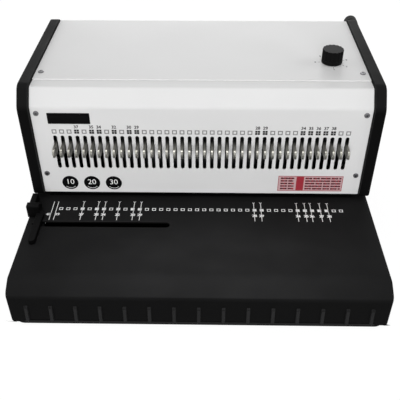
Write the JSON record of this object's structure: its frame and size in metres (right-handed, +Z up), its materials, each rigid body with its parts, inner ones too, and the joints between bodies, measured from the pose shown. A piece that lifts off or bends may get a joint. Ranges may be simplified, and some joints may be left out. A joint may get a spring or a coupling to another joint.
{
  "type": "wire-punching and binding machine",
  "caption": "Electric desk machine that punches a row of square holes in paper fed from a broad black deck under a pale slotted panel, and closes wire spines at the rear.",
  "frame": {"origin": "on the table, under the middle of the machine's outline", "axes": "+Z up; -Y towards the user; +X along the row of punches, to the user's right"},
  "size_m": [0.443, 0.44, 0.2107],
  "materials": {
    "black_moulding": "fine matt grain",
    "black_plate": "satin black",
    "pale_sheet": "satin pale grey",
    "plated_steel": "zinc plated",
    "tool_steel": "ground",
    "spring_steel": "drawn wire",
    "bronze": "machined",
    "guide_plastic": "moulded",
    "cast_alloy": "as cast",
    "motor_steel": "satin",
    "lever_steel": "satin black",
    "grip_rubber": "matt",
    "foot_rubber": "matt",
    "knob_plastic": "fine grain",
    "rocker_plastic": "smooth",
    "circuit_board": "solder mask"
  },
  "bodies": {
    "housing": {"base_cover": "black_moulding", "bottom_plate": "black_plate", "rubber_feet": "foot_rubber", "front_panel": "pale_sheet", "top_cover": "pale_sheet", "rear_cover": "pale_sheet", "left_side_panel": "black_moulding", "right_side_panel": "black_moulding", "left_side_frame": "plated_steel", "right_side_frame": "plated_steel", "tie_rods": "plated_steel", "die_plate": "tool_steel", "throat_spacers": "plated_steel", "punch_guide_plate": "tool_steel", "camshaft_bushes": "bronze", "motor_shelf": "plated_steel", "gearbox_case": "cast_alloy", "motor_can": "motor_steel", "wire_anvil": "tool_steel", "closer_guides": "guide_plastic", "closer_bushes": "bronze", "slide_bracket": "plated_steel", "control_board": "circuit_board", "power_inlet": "knob_plastic", "switch_frame": "knob_plastic", "pedal_socket": "knob_plastic", "cover_screws": "plated_steel", "return_springs": "spring_steel", "closer_springs": "spring_steel"},
    "beam": {"punch_beam": "tool_steel", "punch_pins": "tool_steel", "retaining_rod": "plated_steel", "roller_pins": "plated_steel"},
    "rollers": {"cam_rollers": "tool_steel"},
    "cams": {"camshaft": "plated_steel", "press_cams": "tool_steel", "drive_gear": "tool_steel"},
    "pinion": {"output_pinion": "tool_steel"},
    "pins_01_08": {"release_pins_01_08": "tool_steel"},
    "pins_09_16": {"release_pins_09_16": "tool_steel"},
    "pins_17_24": {"release_pins_17_24": "tool_steel"},
    "pins_25_32": {"release_pins_25_32": "tool_steel"},
    "pins_33_40": {"release_pins_33_40": "tool_steel"},
    "drawer": {"chip_drawer": "black_moulding"},
    "guide": {"edge_guide": "black_moulding", "guide_clamp": "plated_steel"},
    "lever": {"closing_lever": "lever_steel", "lever_grip": "grip_rubber", "closer_shaft": "plated_steel", "closer_cams": "tool_steel"},
    "closer": {"closer_bar": "tool_steel"},
    "dial": {"size_dial": "knob_plastic", "dial_spindle": "plated_steel"},
    "stop": {"stop_slide": "plated_steel"},
    "margin": {"margin_knob": "knob_plastic", "margin_shaft": "plated_steel"},
    "paper_stop": {"paper_stop": "plated_steel"},
    "switch": {"rocker": "rocker_plastic"}
  },
  "joints": [
    {"name": "camshaft_turn", "type": "hinge", "parent": "housing", "child": "cams", "pos_m": [0, -0.0389, 0.1653], "axis": [-1, 0, 0], "range_deg": [0, 180]},
    {"name": "beam_stroke", "type": "slide", "parent": "housing", "child": "beam", "axis": [0, 0, -1], "range_m": [0, 0.012], "stiffness_N_per_m": 1500, "springref_m": -0.03, "deforming": ["return_springs"]},
    {"name": "pinion_turn", "type": "hinge", "parent": "housing", "child": "pinion", "pos_m": [0, -0.0103, 0.1653], "axis": [-1, 0, 0], "range_deg": [-309, 0]},
    {"name": "roller_spin", "type": "hinge", "parent": "beam", "child": "rollers", "pos_m": [0, -0.0389, 0.149], "axis": [1, 0, 0], "continuous": true},
    {"name": "pins_01_08_pull", "type": "slide", "parent": "beam", "child": "pins_01_08", "axis": [0, -1, 0], "range_m": [0, 0.008]},
    {"name": "pins_09_16_pull", "type": "slide", "parent": "beam", "child": "pins_09_16", "axis": [0, -1, 0], "range_m": [0, 0.008]},
    {"name": "pins_17_24_pull", "type": "slide", "parent": "beam", "child": "pins_17_24", "axis": [0, -1, 0], "range_m": [0, 0.008]},
    {"name": "pins_25_32_pull", "type": "slide", "parent": "beam", "child": "pins_25_32", "axis": [0, -1, 0], "range_m": [0, 0.008]},
    {"name": "pins_33_40_pull", "type": "slide", "parent": "beam", "child": "pins_33_40", "axis": [0, -1, 0], "range_m": [0, 0.008]},
    {"name": "drawer_slide", "type": "slide", "parent": "housing", "child": "drawer", "axis": [1, 0, 0], "range_m": [0, 0.3]},
    {"name": "guide_slide", "type": "slide", "parent": "housing", "child": "guide", "axis": [1, 0, 0], "range_m": [0, 0.145]},
    {"name": "lever_swing", "type": "hinge", "parent": "housing", "child": "lever", "pos_m": [0, 0.1151, 0.1473], "axis": [1, 0, 0], "range_deg": [0, 70]},
    {"name": "closer_stroke", "type": "slide", "parent": "housing", "child": "closer", "axis": [0, 0, -1], "range_m": [0, 0.012], "stiffness_N_per_m": 1200, "springref_m": -0.02, "deforming": ["closer_springs"]},
    {"name": "dial_turn", "type": "hinge", "parent": "housing", "child": "dial", "pos_m": [0.151, 0.0144, 0.153], "axis": [0, 0, 1], "range_deg": [0, 270]},
    {"name": "stop_travel", "type": "slide", "parent": "housing", "child": "stop", "axis": [0, -1, 0], "range_m": [0, 0.008]},
    {"name": "margin_turn", "type": "hinge", "parent": "housing", "child": "margin", "pos_m": [0, 0.0091, 0.069], "axis": [1, 0, 0], "range_deg": [-30, 30]},
    {"name": "paper_stop_travel", "type": "slide", "parent": "housing", "child": "paper_stop", "axis": [0, 1, 0], "range_m": [-0.002, 0.002]},
    {"name": "switch_tilt", "type": "hinge", "parent": "housing", "child": "switch", "pos_m": [-0.078, 0.1351, 0.028], "axis": [1, 0, 0], "range_deg": [-18, 0]}
  ],
  "couplings": [
    {"joint": "camshaft_turn", "follows": "beam_stroke", "rad_per_m": 261.8},
    {"joint": "pinion_turn", "follows": "beam_stroke", "rad_per_m": -448.79},
    {"joint": "lever_swing", "follows": "closer_stroke", "rad_per_m": 101.8},
    {"joint": "dial_turn", "follows": "stop_travel", "rad_per_m": 589.03},
    {"joint": "margin_turn", "follows": "paper_stop_travel", "rad_per_m": 261.77}
  ]
}
